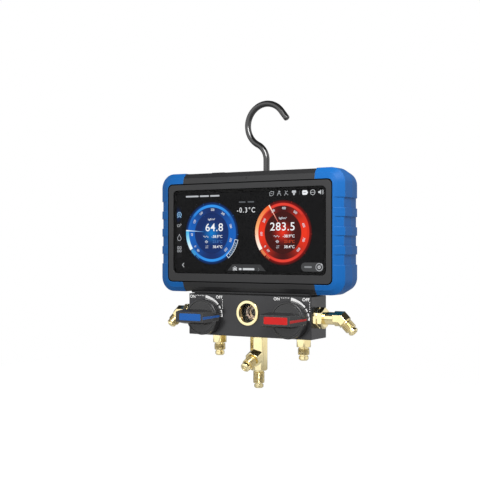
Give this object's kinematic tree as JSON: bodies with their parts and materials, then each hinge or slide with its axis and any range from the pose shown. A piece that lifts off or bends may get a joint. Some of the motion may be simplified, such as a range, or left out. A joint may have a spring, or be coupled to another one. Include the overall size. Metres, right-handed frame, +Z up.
{
  "type": "refrigerant manifold gauge",
  "caption": "Digital manifold gauge for refrigerant work: a wide display head with rubber ends on a valve block with lever knobs, brass hose ports and a swivel hook.",
  "frame": {"origin": "the seat of the hook, where the top of its inner bend bears on what it hangs from", "axes": "+Z up, +X towards the high-pressure (red) side, and the screen faces -Y"},
  "size_m": [0.2058, 0.062, 0.2762],
  "materials": {
    "ball": "polished",
    "ptfe": "white",
    "battery": "wrapped cell",
    "bumper": "blue, satin",
    "steel": "bright zinc",
    "display": "lit graphics on black",
    "brass": "machined, bright",
    "bezel": "dark grey, fine grain",
    "gland": "turned",
    "hook": "satin black",
    "bush": "machined",
    "indicator": "clear dark",
    "badge_left": "blue label",
    "badge_right": "red label",
    "knob": "black, fine grain",
    "pointer_left": "blue",
    "pointer_right": "red",
    "board": "green solder mask",
    "block": "black anodised, fine blast",
    "sensor": "turned",
    "rear_cover": "dark grey, fine grain",
    "seal": "black",
    "saddle": "grey anodised",
    "screen_glass": "polished",
    "mask": "black print",
    "sight_lens": "polished",
    "sight_ring": "turned",
    "flap": "black, satin",
    "socket": "nickel",
    "stem": "turned"
  },
  "bodies": {
    "head": {"ball_seat_left": "ptfe", "ball_seat_right": "ptfe", "battery_pack": "battery", "bumper_left": "bumper", "bumper_right": "bumper", "case_screws": "steel", "centre_tee": "brass", "display_panel": "display", "elbow_left": "brass", "elbow_nut_left": "brass", "elbow_nut_right": "brass", "elbow_right": "brass", "front_bezel": "bezel", "gland_left": "gland", "gland_right": "gland", "hook_bush": "bush", "indicator_lens": "indicator", "main_board": "board", "manifold_block": "block", "port_left": "brass", "port_right": "brass", "pressure_sensor_left": "sensor", "pressure_sensor_right": "sensor", "rear_cover": "rear_cover", "saddle_gasket": "seal", "saddle_plate": "saddle", "screen_glass": "screen_glass", "screen_mask": "mask", "sight_lens": "sight_lens", "sight_ring": "sight_ring", "sight_seal": "seal", "stem_seal_left": "ptfe", "stem_seal_right": "ptfe", "stop_pin_left": "steel", "stop_pin_right": "steel", "tie_screws": "steel", "usb_socket": "socket"},
    "hook": {"hook": "hook", "hook_clip": "steel"},
    "knob_left": {"knob_left": "knob", "knob_badge_left": "badge_left", "knob_pointer_left": "pointer_left", "knob_screw_left": "steel", "valve_stem_left": "stem", "ball_left": "ball"},
    "knob_right": {"knob_right": "knob", "knob_badge_right": "badge_right", "knob_pointer_right": "pointer_right", "knob_screw_right": "steel", "valve_stem_right": "stem", "ball_right": "ball"},
    "usb_flap": {"usb_flap": "flap"}
  },
  "joints": [
    {"name": "hook_swivel", "type": "hinge", "parent": "head", "child": "hook", "pos_m": [0, 0, 0], "axis": [0, 0, 1], "continuous": true},
    {"name": "valve_left", "type": "hinge", "parent": "head", "child": "knob_left", "pos_m": [-0.0464, -0.045, -0.20255], "axis": [0, -1, 0], "range_deg": [0, 90]},
    {"name": "valve_right", "type": "hinge", "parent": "head", "child": "knob_right", "pos_m": [0.0464, -0.045, -0.20255], "axis": [0, -1, 0], "range_deg": [0, 90]},
    {"name": "usb_flap_hinge", "type": "hinge", "parent": "head", "child": "usb_flap", "pos_m": [-0.043, -0.027, -0.06495], "axis": [0, -1, 0], "range_deg": [0, 110]}
  ]
}
